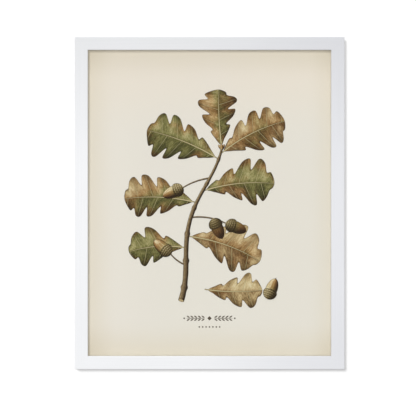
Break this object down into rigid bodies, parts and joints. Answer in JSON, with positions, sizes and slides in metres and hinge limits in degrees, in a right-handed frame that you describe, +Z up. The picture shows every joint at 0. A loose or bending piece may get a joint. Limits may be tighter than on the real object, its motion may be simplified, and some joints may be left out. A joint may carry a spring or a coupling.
{
  "type": "framed art print",
  "caption": "Portrait art print behind clear acrylic in a plain white wooden frame, with back boards, swivelling turn buttons and a sawtooth hanger for the wall.",
  "frame": {"origin": "on the wall plane, where the wall nail meets the middle notch of the sawtooth hanger, half way across the frame", "axes": "+X to the right as seen from the front, +Y into the wall, +Z up; the front faces -Y and the wall is the plane y = 0"},
  "size_m": [0.4368, 0.018, 0.5385],
  "materials": {
    "white_paint": "satin white paint on solid wood",
    "acrylic": "clear polished acrylic",
    "paper": "cream matte art paper, printed on its front",
    "cardboard": "corrugated kraft cardboard",
    "hardboard": "brown hardboard, smooth face to the rear",
    "black_steel": "black oxide on stamped steel",
    "zinc_steel": "bright zinc plate on steel",
    "bumper_rubber": "clear soft polyurethane"
  },
  "bodies": {
    "frame": {"rail_bottom": "white_paint", "rail_left": "white_paint", "rail_top": "white_paint", "rail_right": "white_paint", "acrylic": "acrylic", "art_print": "paper", "filler_board": "cardboard", "back_board": "hardboard", "v_nail_bottom_left_inner": "zinc_steel", "v_nail_bottom_left_outer": "zinc_steel", "v_nail_bottom_right_inner": "zinc_steel", "v_nail_bottom_right_outer": "zinc_steel", "v_nail_top_left_inner": "zinc_steel", "v_nail_top_left_outer": "zinc_steel", "v_nail_top_right_inner": "zinc_steel", "v_nail_top_right_outer": "zinc_steel", "screw_bottom_left": "zinc_steel", "screw_bottom_right": "zinc_steel", "screw_left_lower": "zinc_steel", "screw_left_upper": "zinc_steel", "screw_top_left": "zinc_steel", "screw_top_right": "zinc_steel", "screw_right_lower": "zinc_steel", "screw_right_upper": "zinc_steel", "hanger": "zinc_steel", "hanger_nail_left": "zinc_steel", "hanger_nail_right": "zinc_steel", "bumper_left": "bumper_rubber", "bumper_right": "bumper_rubber"},
    "button_bottom_left": {"turn_button_bottom_left": "black_steel"},
    "button_bottom_right": {"turn_button_bottom_right": "black_steel"},
    "button_left_lower": {"turn_button_left_lower": "black_steel"},
    "button_left_upper": {"turn_button_left_upper": "black_steel"},
    "button_top_left": {"turn_button_top_left": "black_steel"},
    "button_top_right": {"turn_button_top_right": "black_steel"},
    "button_right_lower": {"turn_button_right_lower": "black_steel"},
    "button_right_upper": {"turn_button_right_upper": "black_steel"}
  },
  "joints": [
    {"name": "button_bottom_left_swivel", "type": "hinge", "parent": "frame", "child": "button_bottom_left", "pos_m": [-0.112, -0.0023, -0.5225], "axis": [0, 1, 0], "continuous": true},
    {"name": "button_bottom_right_swivel", "type": "hinge", "parent": "frame", "child": "button_bottom_right", "pos_m": [0.112, -0.0023, -0.5225], "axis": [0, 1, 0], "continuous": true},
    {"name": "button_left_lower_swivel", "type": "hinge", "parent": "frame", "child": "button_left_lower", "pos_m": [-0.21145, -0.0023, -0.39525], "axis": [0, 1, 0], "continuous": true},
    {"name": "button_left_upper_swivel", "type": "hinge", "parent": "frame", "child": "button_left_upper", "pos_m": [-0.21145, -0.0023, -0.12525], "axis": [0, 1, 0], "continuous": true},
    {"name": "button_top_left_swivel", "type": "hinge", "parent": "frame", "child": "button_top_left", "pos_m": [-0.112, -0.0023, 0.002], "axis": [0, 1, 0], "continuous": true},
    {"name": "button_top_right_swivel", "type": "hinge", "parent": "frame", "child": "button_top_right", "pos_m": [0.112, -0.0023, 0.002], "axis": [0, 1, 0], "continuous": true},
    {"name": "button_right_lower_swivel", "type": "hinge", "parent": "frame", "child": "button_right_lower", "pos_m": [0.21145, -0.0023, -0.39525], "axis": [0, 1, 0], "continuous": true},
    {"name": "button_right_upper_swivel", "type": "hinge", "parent": "frame", "child": "button_right_upper", "pos_m": [0.21145, -0.0023, -0.12525], "axis": [0, 1, 0], "continuous": true}
  ]
}
